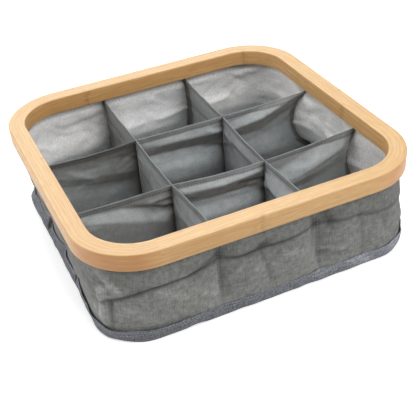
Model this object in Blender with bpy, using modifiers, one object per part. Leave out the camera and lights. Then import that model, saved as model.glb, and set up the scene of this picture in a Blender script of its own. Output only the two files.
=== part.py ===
"""Nine-cell drawer organizer: a bent bamboo rim holding a soft fabric bag with sewn dividers.

Metres, +Z up. The origin is on the floor, under the middle of the organizer.
"""

import math

import bmesh
import bpy
import numpy as np
from mathutils import Matrix, Vector

# Overall size, outside the rim
LENGTH = 0.333
WIDTH = 0.320
HEIGHT = 0.100

# Bent rim, laminated from plies
PLY_NAMES = ("rim_ply_outer", "rim_ply_second", "rim_ply_core", "rim_ply_fourth", "rim_ply_inner")
CORE_PLY = 2
PLY_THICKNESS = 0.0032
GLUE_LINE = 0.0002
RIM_HEIGHT = 0.0174
RIM_CORNER = 0.0615
EDGE_ROUND = 0.0016
GROOVE_DEPTH = 0.008

# Scarf joint that closes each ply
SCARF_SLOPE = 5.0
SAW_GAP = 0.0003
SCARF_OFFSET = 0.035

# Bag
WALL_THICKNESS = 0.0010
WALL_PROFILE = ((0.07, 0.0036), (0.26, 0.0016), (0.50, 0.0012), (0.74, 0.0018), (0.93, 0.0034))
TUCK_DEPTH = 0.006
TUCK_REACH = 0.030
TAPE_THICKNESS = 0.0008
TAPE_HEIGHT = 0.013
TAPE_INSET = 0.0035
PANEL_THICKNESS = 0.0008
BOARD_THICKNESS = 0.0020
BOARD_MARGIN = 0.0020
LINING_THICKNESS = 0.0008

# Dividers, with a folded hem along the top
DIVIDER_THICKNESS = 0.0009
HEM_THICKNESS = 0.0017
HEM_DEPTH = 0.0075
DIVIDER_DROP = 0.0010
CENTRE_SAG = 0.0030
SPAN_SAG = 0.0030
COLUMNS = 3

# Clearance between any two pieces
GAP = 0.0003

# Smoothness
CORNER_STEPS = 10
ROUND_STEPS = 3
SPAN_STEPS = 6
OUTLINE_STEPS = 12

# Levels and insets that follow from the sizes
RIM_BOTTOM = HEIGHT - RIM_HEIGHT
PLY_PITCH = PLY_THICKNESS + GLUE_LINE
RIM_THICKNESS = len(PLY_NAMES) * PLY_PITCH - GLUE_LINE
GROOVE_OUTSIDE = CORE_PLY * PLY_PITCH - GLUE_LINE
GROOVE_INSIDE = (CORE_PLY + 1) * PLY_PITCH
GROOVE_TOP = RIM_BOTTOM + GROOVE_DEPTH
HEM_INSET = GROOVE_OUTSIDE + GAP
WALL_FOOT_INSET = TAPE_INSET + TAPE_THICKNESS + GAP
TAPE_INNER_INSET = WALL_FOOT_INSET + WALL_THICKNESS + GAP
BASE_INSET = TAPE_INNER_INSET + TAPE_THICKNESS + GAP
BOARD_BOTTOM = PANEL_THICKNESS + GAP
LINING_BOTTOM = BOARD_BOTTOM + BOARD_THICKNESS + GAP
FLOOR_TOP = LINING_BOTTOM + LINING_THICKNESS
DIVIDER_BOTTOM = FLOOR_TOP + GAP
DIVIDER_TOP = RIM_BOTTOM - DIVIDER_DROP
WALL_FREE_BOTTOM = TAPE_HEIGHT + GAP
WALL_FREE_TOP = RIM_BOTTOM - GAP
DIVIDER_X = (LENGTH - 2 * RIM_THICKNESS) / (2 * COLUMNS)
DIVIDER_Y = (WIDTH - 2 * RIM_THICKNESS) / (2 * COLUMNS)

# Colours as seen, 0 to 255, with roughness
FINISHES = {
    "bamboo": ((232, 196, 150), 0.48),
    "bamboo_core": ((222, 184, 136), 0.52),
    "wall_fabric": ((150, 150, 147), 0.92),
    "divider_fabric": ((136, 140, 145), 0.85),
    "lining_fabric": ((112, 114, 116), 0.88),
    "tape": ((118, 121, 126), 0.85),
    "board": ((126, 112, 94), 0.90),
    "strip": ((60, 60, 62), 0.45),
}


def clear_scene():
    for thing in list(bpy.data.objects):
        bpy.data.objects.remove(thing, do_unlink=True)


def new_collection(name):
    collection = bpy.data.collections.new(name)
    bpy.context.scene.collection.children.link(collection)
    return collection


def piece_material(name, finish):
    """A piece's own Principled material, with its finish's colour and roughness."""
    shown, roughness = FINISHES[finish]
    colour = [((value / 255 + 0.055) / 1.055) ** 2.4 for value in shown]
    material = bpy.data.materials.new(f"{name}_{finish}")
    material.use_nodes = True
    shader = material.node_tree.nodes["Principled BSDF"]
    shader.inputs["Base Color"].default_value = (*colour, 1.0)
    shader.inputs["Roughness"].default_value = roughness
    shader.inputs["Metallic"].default_value = 0.0
    material.diffuse_color = (*colour, 1.0)
    return material


def new_piece(name, bm, finish, collection, location=(0, 0, 0)):
    """Turns a bmesh into a named object with its own material, shaded smooth but for its edges."""
    mesh = bpy.data.meshes.new(name)
    bm.to_mesh(mesh)
    bm.free()
    mesh.shade_smooth()
    mesh.set_sharp_from_angle(angle=math.radians(35))
    mesh.materials.append(piece_material(name, finish))
    piece = bpy.data.objects.new(name, mesh)
    piece.location = location
    collection.objects.link(piece)
    return piece


def wall_inset(height):
    """How far the bag's outside stands in from the rim's outside, on a panel away from the tucks."""
    free = WALL_FREE_TOP - WALL_FREE_BOTTOM
    levels = [WALL_FREE_BOTTOM] + [WALL_FREE_BOTTOM + share * free for share, _ in WALL_PROFILE]
    insets = [WALL_FOOT_INSET] + [inset for _, inset in WALL_PROFILE]
    return float(np.interp(height, levels + [WALL_FREE_TOP], insets + [HEM_INSET]))


def wall_levels():
    """Heights of the bag's rows between the binding tape and the rim."""
    free = WALL_FREE_TOP - WALL_FREE_BOTTOM
    shares = [0.0] + [share for share, _ in WALL_PROFILE] + [1.0]
    return [WALL_FREE_BOTTOM + share * free for share in shares]


def tuck(along, height, seam):
    """How far the dividers' seams pull the bag in, at a distance along a side and a height."""
    share = (height - WALL_FREE_BOTTOM) / (WALL_FREE_TOP - WALL_FREE_BOTTOM)
    away = min(abs(along - seam), abs(along + seam)) / min(TUCK_REACH, seam)
    if not 0 < share < 1 or away >= 1:
        return 0.0
    return TUCK_DEPTH * math.sin(math.pi * share) * math.cos(math.pi * away / 2) ** 2


def side_stations(seam, half_run):
    """Places along a side where the bag's folds need a row: its seams, their reach, its middle and ends."""
    reach = min(TUCK_REACH, seam)
    near = [side * seam + share * reach for side in (-1, 1) for share in (-1, -0.5, 0, 0.5, 1)]
    inside = {round(place, 6) for place in near + [0.0] if abs(place) < half_run - GAP}
    return sorted(inside | {-half_run, half_run})


def sweep_round_plan(section, stations_x, stations_y):
    """Carries a closed section of (inset, height) points round the rim's plan, along runs and corner arcs."""
    half_x, half_y = LENGTH / 2 - RIM_CORNER, WIDTH / 2 - RIM_CORNER
    bm = bmesh.new()
    start = [bm.verts.new((-half_x, inset - WIDTH / 2, height)) for inset, height in section]
    ends = start + [bm.edges.new((start[i - 1], start[i])) for i in range(len(start))]
    corners = ((half_x, -half_y), (half_x, half_y), (-half_x, half_y), (-half_x, -half_y))
    headings = (Vector((1, 0, 0)), Vector((0, 1, 0)), Vector((-1, 0, 0)), Vector((0, -1, 0)))
    for corner, heading, stations in zip(corners, headings, (stations_x, stations_y) * 2):
        for step in np.diff(stations):
            run = bmesh.ops.spin(bm, geom=ends, dvec=heading * step, angle=0.0, axis=(0, 0, 1), steps=1)
            ends = run["geom_last"]
        turn = bmesh.ops.spin(
            bm, geom=ends, cent=(*corner, 0), axis=(0, 0, 1), angle=math.pi / 2, steps=CORNER_STEPS
        )
        ends = turn["geom_last"]
    bmesh.ops.remove_doubles(bm, verts=bm.verts, dist=GAP / 10)
    bmesh.ops.recalc_face_normals(bm, faces=bm.faces)
    return bm


def plain_runs():
    half_x, half_y = LENGTH / 2 - RIM_CORNER, WIDTH / 2 - RIM_CORNER
    return (-half_x, half_x), (-half_y, half_y)


def section_corner(inset, height, toward_inset, toward_height, rounding):
    """One corner of a ply's section: a quarter arc, or a plain point where the rounding is nothing."""
    if not rounding:
        return [(inset, height)]
    centre = Vector((inset + toward_inset * rounding, height + toward_height * rounding))
    points = []
    for step in range(ROUND_STEPS + 1):
        angle = math.pi / 2 * step / ROUND_STEPS
        points.append(
            (
                centre.x - toward_inset * rounding * math.cos(angle),
                centre.y - toward_height * rounding * math.sin(angle),
            )
        )
    return points


def ply_section(index):
    """A ply's section, outside first. Edges that show are rounded, and the core stops over the groove."""
    outside = index * PLY_PITCH
    inside = outside + PLY_THICKNESS
    bottom = GROOVE_TOP if index == CORE_PLY else RIM_BOTTOM
    rounding = min(EDGE_ROUND, PLY_THICKNESS * 0.8, RIM_HEIGHT * 0.4)
    outer = rounding if index == 0 else 0.0
    inner = rounding if index == len(PLY_NAMES) - 1 else 0.0
    lower_out = section_corner(outside, bottom, 1, 1, outer)
    lower_in = section_corner(inside, bottom, -1, 1, inner)[::-1]
    upper_in = section_corner(inside, HEIGHT, -1, -1, inner)
    upper_out = section_corner(outside, HEIGHT, 1, -1, outer)[::-1]
    return lower_out + lower_in + upper_in + upper_out


def scarf_cutter(index, cutters):
    """A saw-thin slab that cuts one ply on the slant, where its ends meet. The joints go round the rim."""
    depth = index * PLY_PITCH + PLY_THICKNESS / 2
    turn = math.pi / 2 * (index % 4)
    along_x = index % 2 == 1
    reach = (WIDTH if along_x else LENGTH) / 2 - depth
    length = 2 * PLY_THICKNESS * math.hypot(1, SCARF_SLOPE)
    bm = bmesh.new()
    bmesh.ops.create_cube(bm, size=1)
    bmesh.ops.scale(bm, vec=(length, SAW_GAP, 2 * RIM_HEIGHT), verts=bm.verts)
    mesh = bpy.data.meshes.new(f"scarf_{index}")
    bm.to_mesh(mesh)
    bm.free()
    cutter = bpy.data.objects.new(f"scarf_{index}", mesh)
    slant = Matrix.Rotation(math.pi / 2 - math.atan(1 / SCARF_SLOPE), 4, "Z")
    place = Matrix.Translation((-reach, SCARF_OFFSET, HEIGHT - RIM_HEIGHT / 2))
    cutter.matrix_world = Matrix.Rotation(-turn, 4, "Z") @ place @ slant
    cutter.hide_render = True
    cutter.display_type = "WIRE"
    cutters.objects.link(cutter)
    return cutter


def make_rim(parts, cutters):
    for index, name in enumerate(PLY_NAMES):
        finish = "bamboo_core" if index == CORE_PLY else "bamboo"
        ply = new_piece(name, sweep_round_plan(ply_section(index), *plain_runs()), finish, parts)
        joint = ply.modifiers.new("scarf_joint", "BOOLEAN")
        joint.operation = "DIFFERENCE"
        joint.solver = "EXACT"
        joint.object = scarf_cutter(index, cutters)


def make_hem_strip(parts):
    """The strip that holds the bag's hem against the groove's outer side."""
    outside = HEM_INSET + WALL_THICKNESS + GAP
    inside = GROOVE_INSIDE - GAP - GLUE_LINE
    top = GROOVE_TOP - 2 * GAP
    section = [(outside, RIM_BOTTOM + GAP), (inside, RIM_BOTTOM + GAP), (inside, top), (outside, top)]
    new_piece("hem_strip", sweep_round_plan(section, *plain_runs()), "strip", parts)


def make_side_wall(parts):
    """The bag's wall: its foot in the binding tape, its panels bowed out, its hem up in the rim's groove."""
    free = wall_levels()
    levels = [TAPE_THICKNESS + GAP] + free + [GROOVE_TOP - 2 * GAP]
    outside = [(wall_inset(level), level) for level in levels]
    inside = [(inset + WALL_THICKNESS, level) for inset, level in outside]
    half_x, half_y = LENGTH / 2 - RIM_CORNER, WIDTH / 2 - RIM_CORNER
    stations_x = side_stations(DIVIDER_X, half_x)
    stations_y = side_stations(DIVIDER_Y, half_y)
    bm = sweep_round_plan(inside + outside[::-1], stations_x, stations_y)
    for vert in bm.verts:
        x, y, z = vert.co
        if abs(x) < half_x:
            vert.co.y -= math.copysign(tuck(x, z, DIVIDER_X), y)
        elif abs(y) < half_y:
            vert.co.x -= math.copysign(tuck(y, z, DIVIDER_Y), x)
    new_piece("side_wall", bm, "wall_fabric", parts)


def make_binding_tape(parts):
    """The tape folded round the bag's foot: a tall outer leaf, the fold on the floor and a low inner leaf."""
    outside, inside = TAPE_INSET, TAPE_INNER_INSET + TAPE_THICKNESS
    section = [
        (outside, 0.0),
        (inside, 0.0),
        (inside, FLOOR_TOP),
        (inside - TAPE_THICKNESS, FLOOR_TOP),
        (inside - TAPE_THICKNESS, TAPE_THICKNESS),
        (outside + TAPE_THICKNESS, TAPE_THICKNESS),
        (outside + TAPE_THICKNESS, TAPE_HEIGHT),
        (outside, TAPE_HEIGHT),
    ]
    new_piece("binding_tape", sweep_round_plan(section, *plain_runs()), "tape", parts)


def make_plate(name, inset, bottom, thickness, finish, parts):
    """A flat sheet with the organizer's rounded outline, as an extruded 2D curve made a mesh."""
    curve = bpy.data.curves.new(name, "CURVE")
    curve.dimensions = "2D"
    curve.fill_mode = "BOTH"
    curve.extrude = thickness / 2
    radius = RIM_CORNER - inset
    points = []
    for quarter, (side_x, side_y) in enumerate(((1, 1), (-1, 1), (-1, -1), (1, -1))):
        centre = Vector((side_x * (LENGTH / 2 - RIM_CORNER), side_y * (WIDTH / 2 - RIM_CORNER)))
        for step in range(OUTLINE_STEPS + 1):
            angle = math.pi / 2 * (quarter + step / OUTLINE_STEPS)
            points.append((centre.x + radius * math.cos(angle), centre.y + radius * math.sin(angle)))
    spline = curve.splines.new("POLY")
    spline.points.add(len(points) - 1)
    for point, (x, y) in zip(spline.points, points):
        point.co = (x, y, 0, 1)
    spline.use_cyclic_u = True
    outline = bpy.data.objects.new(name, curve)
    parts.objects.link(outline)
    bpy.context.view_layer.update()
    mesh = bpy.data.meshes.new_from_object(outline.evaluated_get(bpy.context.evaluated_depsgraph_get()))
    bpy.data.objects.remove(outline)
    bpy.data.curves.remove(curve)
    bm = bmesh.new()
    bm.from_mesh(mesh)
    bpy.data.meshes.remove(mesh)
    bmesh.ops.remove_doubles(bm, verts=bm.verts, dist=GAP / 10)
    new_piece(name, bm, finish, parts, (0, 0, bottom + thickness / 2))


def divider_top(along, half_span, pitch):
    """A divider's top edge: close under the rim at the walls, lower mid-way and slack over each cell."""
    middle = CENTRE_SAG * (1 - (along / half_span) ** 2)
    if abs(along) < pitch:
        across = (along + pitch) / (2 * pitch)
    else:
        across = (abs(along) - pitch) / (half_span - pitch)
    return DIVIDER_TOP - middle - SPAN_SAG * math.sin(math.pi * across) ** 2


def make_divider(name, start, end, half_side, pitch, seam, across_x, at, parts):
    """A sheet that stands on edge from one place to another. An end given as None is sewn to the bag's wall.

    half_side is half the organizer along the sheet, pitch the place of the dividers that it crosses,
    and seam the place of its own seam on the wall.
    """
    hem_rows = [DIVIDER_TOP - HEM_DEPTH - GAP, DIVIDER_TOP - HEM_DEPTH, DIVIDER_TOP]
    rows = [DIVIDER_BOTTOM] + [level for level in wall_levels() if level < hem_rows[0]] + hem_rows
    half_span = half_side - wall_inset(DIVIDER_TOP) - WALL_THICKNESS - GAP

    def wall_end(height):
        inside = max(wall_inset(height) + WALL_THICKNESS, TAPE_INNER_INSET)
        return half_side - inside - tuck(seam, height, seam) - GAP

    columns = SPAN_STEPS * (COLUMNS if start is None and end is None else 1)
    bm = bmesh.new()
    bmesh.ops.create_grid(bm, x_segments=columns, y_segments=len(rows) - 1, size=0.5)
    weights = bm.verts.layers.deform.verify()
    for vert in bm.verts:
        share = vert.co.x + 0.5
        level = rows[round((vert.co.y + 0.5) * (len(rows) - 1))]
        vert[weights][0] = float(level >= hem_rows[1])
        low = -wall_end(level) if start is None else start
        high = wall_end(level) if end is None else end
        along = low + share * (high - low)
        top = divider_top(max(-half_span, min(half_span, along)), half_span, pitch)
        stretch = (top - DIVIDER_BOTTOM) / (DIVIDER_TOP - DIVIDER_BOTTOM)
        height = DIVIDER_BOTTOM + (level - DIVIDER_BOTTOM) * stretch
        vert.co = (at, along, height) if across_x else (along, at, height)
    piece = new_piece(name, bm, "divider_fabric", parts)
    piece.vertex_groups.new(name="hem")
    cloth = piece.modifiers.new("cloth", "SOLIDIFY")
    cloth.thickness = HEM_THICKNESS
    cloth.offset = 0.0
    cloth.vertex_group = "hem"
    cloth.thickness_vertex_group = DIVIDER_THICKNESS / HEM_THICKNESS
    return piece


def make_dividers(parts):
    """Two dividers run from front to back, and the cross dividers between them are sewn in, in pieces."""
    for name, side in (("divider_left", -1), ("divider_right", 1)):
        make_divider(name, None, None, WIDTH / 2, DIVIDER_Y, DIVIDER_X, True, side * DIVIDER_X, parts)
    face = DIVIDER_X - HEM_THICKNESS / 2 - GAP
    far_face = DIVIDER_X + HEM_THICKNESS / 2 + GAP
    reaches = {"left": (None, -far_face), "middle": (-face, face), "right": (far_face, None)}
    for row, side in (("back", 1), ("front", -1)):
        for place, (start, end) in reaches.items():
            name = f"cross_divider_{row}_{place}"
            make_divider(name, start, end, LENGTH / 2, DIVIDER_X, DIVIDER_Y, False, side * DIVIDER_Y, parts)


def main():
    clear_scene()
    parts = new_collection("drawer_organizer")
    cutters = new_collection("cutters")
    make_rim(parts, cutters)
    make_hem_strip(parts)
    make_side_wall(parts)
    make_binding_tape(parts)
    make_plate("bottom_panel", BASE_INSET, 0.0, PANEL_THICKNESS, "wall_fabric", parts)
    make_plate("base_board", BASE_INSET + BOARD_MARGIN, BOARD_BOTTOM, BOARD_THICKNESS, "board", parts)
    make_plate("floor_lining", BASE_INSET, LINING_BOTTOM, LINING_THICKNESS, "lining_fabric", parts)
    make_dividers(parts)


main()
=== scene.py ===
import math

import bmesh
import bpy
import numpy as np
from mathutils import Matrix, Vector, noise
from mathutils.bvhtree import BVHTree


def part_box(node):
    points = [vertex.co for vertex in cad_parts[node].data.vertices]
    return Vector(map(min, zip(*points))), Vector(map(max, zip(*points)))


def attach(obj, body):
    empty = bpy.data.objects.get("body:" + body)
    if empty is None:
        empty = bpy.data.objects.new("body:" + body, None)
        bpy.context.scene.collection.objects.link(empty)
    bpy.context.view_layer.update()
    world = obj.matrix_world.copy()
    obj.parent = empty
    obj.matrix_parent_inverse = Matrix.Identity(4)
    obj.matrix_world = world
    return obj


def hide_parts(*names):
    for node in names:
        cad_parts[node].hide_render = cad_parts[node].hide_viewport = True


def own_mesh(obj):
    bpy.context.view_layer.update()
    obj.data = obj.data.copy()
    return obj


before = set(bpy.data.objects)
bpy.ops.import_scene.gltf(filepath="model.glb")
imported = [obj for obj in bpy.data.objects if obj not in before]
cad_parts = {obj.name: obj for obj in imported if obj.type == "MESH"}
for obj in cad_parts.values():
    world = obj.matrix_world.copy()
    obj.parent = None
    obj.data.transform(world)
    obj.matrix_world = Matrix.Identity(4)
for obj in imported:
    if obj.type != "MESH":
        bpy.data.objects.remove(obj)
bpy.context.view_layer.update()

# Places read from the frame, in metres
outerPly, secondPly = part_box("rim_ply_outer"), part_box("rim_ply_second")
halfX, halfY = outerPly[1].x, outerPly[1].y
rimLow, rimTop = outerPly[0].z, outerPly[1].z
plyPitch = outerPly[1].x - secondPly[1].x
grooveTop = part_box("rim_ply_core")[0].z
seamX = (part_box("divider_right")[0].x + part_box("divider_right")[1].x) / 2
seamY = (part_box("cross_divider_back_middle")[0].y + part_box("cross_divider_back_middle")[1].y) / 2
dividerFoot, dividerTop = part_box("divider_right")[0].z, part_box("divider_right")[1].z
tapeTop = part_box("binding_tape")[1].z
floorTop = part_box("floor_lining")[1].z
print("frame loaded: rim", round(rimLow, 4), "to", round(rimTop, 4))


# Small helpers for meshes

def meshFrom(bm, name):
    mesh = bpy.data.meshes.new(name)
    bm.to_mesh(mesh)
    bm.free()
    return mesh


def addToScene(name, data):
    thing = bpy.data.objects.new(name, data)
    bpy.context.scene.collection.objects.link(thing)
    return thing


def newPiece(name, bm, materials, body, replaced=()):
    piece = addToScene(name, meshFrom(bm, name))
    for material in materials:
        piece.data.materials.append(material)
    piece.data.shade_smooth()
    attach(piece, body)
    if replaced:
        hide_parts(*replaced)
    return piece


# Applies the modifiers on a piece, so that its own mesh is the final one
def applyModifiers(piece):
    graph = bpy.context.evaluated_depsgraph_get()
    graph.update()
    mesh = bpy.data.meshes.new_from_object(piece.evaluated_get(graph), depsgraph=graph)
    piece.modifiers.clear()
    piece.data = mesh


# Carries a section of (inset, height) points round the plan, by straight spins and corner spins
def sweepRound(section, corner, stationsX, stationsY, cornerSteps, closed=True):
    runX, runY = halfX - corner, halfY - corner
    bm = bmesh.new()
    start = [bm.verts.new((-runX, inset - halfY, height)) for inset, height in section]
    pairs = zip(start, start[1:] + start[:1] if closed else start[1:])
    ends = start + [bm.edges.new(pair) for pair in pairs]
    centres = ((runX, -runY, 0), (runX, runY, 0), (-runX, runY, 0), (-runX, -runY, 0))
    headings = ((1, 0, 0), (0, 1, 0), (-1, 0, 0), (0, -1, 0))
    up = (0, 0, 1)
    for centre, heading, stations in zip(centres, headings, (stationsX, stationsY) * 2):
        for step in np.diff(stations):
            shift = Vector(heading) * float(step)
            ends = bmesh.ops.spin(bm, geom=ends, dvec=shift, angle=0.0, axis=up, steps=1)["geom_last"]
        turn = bmesh.ops.spin(bm, geom=ends, cent=centre, axis=up, angle=math.pi / 2, steps=cornerSteps)
        ends = turn["geom_last"]
    bmesh.ops.remove_doubles(bm, verts=bm.verts, dist=0.00001)
    bmesh.ops.recalc_face_normals(bm, faces=bm.faces)
    return bm


def lengthRound(corner):
    return 4 * (halfX + halfY - 2 * corner) + 2 * math.pi * corner


# How far along the plan's edge a point lies, from the front left corner's end, and how far in from the edge.
# Sides are counted from the front, and each is turned to the front before it is measured.
def placeRound(x, y, corner):
    runs, arc = (halfX - corner, halfY - corner), corner * math.pi / 2
    past = abs(x) - runs[0], abs(y) - runs[1]
    onCorner = min(past) > 0
    if onCorner:
        side = (0 if y < 0 else 1) if x > 0 else (2 if y > 0 else 3)
    elif halfY - abs(y) < halfX - abs(x):
        side = 0 if y < 0 else 2
    else:
        side = 1 if x > 0 else 3
    along, down = ((x, y), (y, -x), (-x, -y), (-y, x))[side]
    run, depth = runs[side % 2], runs[1 - side % 2]
    start = side * arc + 2 * sum(runs[number % 2] for number in range(side))
    if onCorner:
        return start + 2 * run + corner * math.atan2(along - run, -down - depth), corner - math.hypot(*past)
    return start + run + along, corner + depth + down


# A UV map in metres: along the run, and in from the edge or up
def mapRun(bm, corner, useHeight=False):
    around = lengthRound(corner)
    layer = bm.loops.layers.uv.new("run")
    for face in bm.faces:
        middle = face.calc_center_median()
        centre = placeRound(middle.x, middle.y, corner)[0]
        for loop in face.loops:
            along, inset = placeRound(loop.vert.co.x, loop.vert.co.y, corner)
            along -= around * round((along - centre) / around)
            loop[layer].uv = (along, loop.vert.co.z if useHeight else inset)


# Small helpers for shader nodes

def feed(tree, socket, source):
    if isinstance(source, bpy.types.NodeSocket):
        tree.links.new(source, socket)
    else:
        socket.default_value = source


def put(tree, kind, links=None, **settings):
    node = tree.nodes.new(kind)
    for key, value in settings.items():
        setattr(node, key, value)
    for socket, source in (links or {}).items():
        feed(tree, node.inputs[socket], source)
    return node


def calc(tree, operation, *values):
    return put(tree, "ShaderNodeMath", dict(enumerate(values)), operation=operation).outputs[0]


def times(tree, first, *others):
    for other in others:
        first = calc(tree, "MULTIPLY", first, other)
    return first


def spread(tree, value, low, high, newLow=0.0, newHigh=1.0):
    links = {"Value": value, "From Min": low, "From Max": high, "To Min": newLow, "To Max": newHigh}
    return put(tree, "ShaderNodeMapRange", links).outputs[0]


def moveVector(tree, operation, links):
    return put(tree, "ShaderNodeVectorMath", links, operation=operation).outputs[0]


def axesOf(tree, vector):
    return put(tree, "ShaderNodeSeparateXYZ", {0: vector}).outputs


def stretchedNoise(tree, vector, scale, detail=2.0):
    scaled = moveVector(tree, "MULTIPLY", {0: vector, 1: scale})
    return put(tree, "ShaderNodeTexNoise", {"Vector": scaled, "Scale": 1.0, "Detail": detail}).outputs[0]


def shown(red, green, blue):
    return (*(((value / 255 + 0.055) / 1.055) ** 2.4 for value in (red, green, blue)), 1.0)


# Mixes two colours, each of them a socket or the red, green and blue that it is seen as
def blendColour(tree, factor, first, second, how="MIX"):
    first, second = (shown(*each) if isinstance(each, tuple) else each for each in (first, second))
    links = {0: factor, 6: first, 7: second}
    return put(tree, "ShaderNodeMix", links, data_type="RGBA", blend_type=how).outputs[2]


# An input with no value of its own is a vector, and each output is a number
def newGroup(name, inputs, outputs):
    tree = bpy.data.node_groups.new(name, "ShaderNodeTree")
    for label, value in inputs.items():
        kind = "NodeSocketVector" if value is None else "NodeSocketFloat"
        socket = tree.interface.new_socket(label, in_out="INPUT", socket_type=kind)
        if value is not None:
            socket.default_value = value
    for label in outputs:
        tree.interface.new_socket(label, in_out="OUTPUT", socket_type="NodeSocketFloat")
    return tree, tree.nodes.new("NodeGroupInput").outputs, tree.nodes.new("NodeGroupOutput").inputs


def useGroup(tree, group, links):
    return put(tree, "ShaderNodeGroup", links, node_tree=group).outputs


def newMaterial(name, roughness, **sockets):
    material = bpy.data.materials.new(name)
    material.use_nodes = True
    tree = material.node_tree
    shader = tree.nodes["Principled BSDF"]
    shader.inputs["Roughness"].default_value = roughness
    for label, value in sockets.items():
        shader.inputs[label.replace("_", " ")].default_value = value
    return material, tree, shader


def runVector(tree):
    return put(tree, "ShaderNodeUVMap", uv_map="run").outputs[0]


def objectVector(tree):
    return put(tree, "ShaderNodeTexCoord").outputs["Object"]


def addBump(tree, shader, height, distance, strength=1.0):
    bump = put(tree, "ShaderNodeBump", {"Height": height, "Distance": distance, "Strength": strength})
    tree.links.new(bump.outputs[0], shader.inputs["Normal"])


# Yarns over and under each other, with slubs. The vector is in metres along the cloth.
def makeWeaveGroup():
    inputs = {"Cloth": None, "Yarn": 0.0006, "Uneven": 0.35, "Patch": 70.0}
    tree, given, out = newGroup("weave", inputs, ("Height", "Slub", "Mottle"))
    cloth, yarn = given["Cloth"], given["Yarn"]
    wander = put(tree, "ShaderNodeTexNoise", {"Vector": cloth, "Scale": 160.0, "Detail": 1.0}).outputs[1]
    shift = moveVector(tree, "SUBTRACT", {0: wander, 1: (0.5, 0.5, 0.5)})
    moved = moveVector(tree, "SCALE", {0: shift, "Scale": times(tree, yarn, given["Uneven"])})
    axes = axesOf(tree, moveVector(tree, "ADD", {0: cloth, 1: moved}))
    turns = calc(tree, "DIVIDE", math.pi, yarn)
    across, down = (calc(tree, "SINE", times(tree, axes[place], turns)) for place in (0, 1))
    over = times(tree, across, down)
    warp = times(tree, calc(tree, "ABSOLUTE", across), spread(tree, over, -0.6, 0.6, 0.35, 1.0))
    weft = times(tree, calc(tree, "ABSOLUTE", down), spread(tree, over, 0.6, -0.6, 0.35, 1.0))
    tree.links.new(calc(tree, "MAXIMUM", warp, weft), out["Height"])
    lying = stretchedNoise(tree, cloth, (90.0, 1100.0, 1.0))
    standing = stretchedNoise(tree, cloth, (1100.0, 110.0, 1.0))
    slub = times(tree, calc(tree, "ADD", lying, standing), 0.5)
    tree.links.new(spread(tree, slub, 0.32, 0.68), out["Slub"])
    patches = put(tree, "ShaderNodeTexNoise", {"Vector": cloth, "Scale": given["Patch"], "Detail": 4.0})
    tree.links.new(spread(tree, patches.outputs[0], 0.3, 0.7), out["Mottle"])
    return tree


# Bamboo strip: long fibres, tone by strip, and a knuckle now and then. Run is (along, inset), in metres.
def makeBambooGroup():
    inputs = {"Run": None, "Object": None, "Strip": 0.0, "Knuckle": 0.2}
    tree, given, out = newGroup("bambooStrip", inputs, ("Fibre", "Streak", "Tone", "Band"))
    run, height = axesOf(tree, given["Run"]), axesOf(tree, given["Object"])[2]
    along = calc(tree, "ADD", run[0], times(tree, given["Strip"], 7.31))
    place = put(tree, "ShaderNodeCombineXYZ", {0: along, 1: run[1], 2: height}).outputs[0]
    for label, stretch, detail, low, high in (
        ("Fibre", (60.0, 1100.0, 1100.0), 4.0, 0.3, 0.7),
        ("Streak", (7.0, 420.0, 420.0), 3.0, 0.36, 0.66),
        ("Tone", (2.4, 60.0, 60.0), 1.0, 0.35, 0.65),
    ):
        tree.links.new(spread(tree, stretchedNoise(tree, place, stretch, detail), low, high), out[label])
    # The knuckle's line wavers across the strip
    waver = times(tree, stretchedNoise(tree, place, (3.0, 120.0, 120.0)), 0.006)
    phase = calc(tree, "FRACT", calc(tree, "DIVIDE", calc(tree, "ADD", along, waver), given["Knuckle"]))
    near = calc(tree, "ABSOLUTE", calc(tree, "SUBTRACT", phase, 0.5))
    flecks = spread(tree, stretchedNoise(tree, place, (220.0, 300.0, 300.0)), 0.4, 0.62)
    wide = times(tree, spread(tree, near, 0.035, 0.0), flecks)
    ring = times(tree, spread(tree, near, 0.01, 0.0), 0.6)
    tree.links.new(calc(tree, "MAXIMUM", wide, ring), out["Band"])
    return tree


weaveGroup = makeWeaveGroup()
bambooGroup = makeBambooGroup()

# Each of the rim's strips has a place along the stock, the way between its knuckles, and how marked they are
rim = {
    "corner": 0.0615, "cornerSteps": 26, "glue": 0.00003, "edgeRound": 0.0011, "innerRound": 0.00007,
    "roundSteps": 4, "scarfSlope": 5.0, "scarfOffset": 0.035, "sawGap": 0.00012,
    "strips": (
        (0.008, 0.31, 0.4), (1.0, 0.27, 0.08), (2.0, 0.33, 0.08), (3.0, 0.29, 0.08), (4.0112, 0.2, 0.55),
    ),
}
bamboo = {
    "pale": (232, 194, 138), "deep": (212, 170, 112), "streak": (186, 134, 76), "knuckle": (146, 96, 52),
    "cornerBrown": (196, 130, 76), "edge": (222, 200, 160), "roughness": 0.42,
    "streaks": 0.6, "fibres": 0.68, "cornerBrowning": 0.55, "bend": 0.02, "cutEdge": 0.28, "glueLine": 0.17,
}


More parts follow.
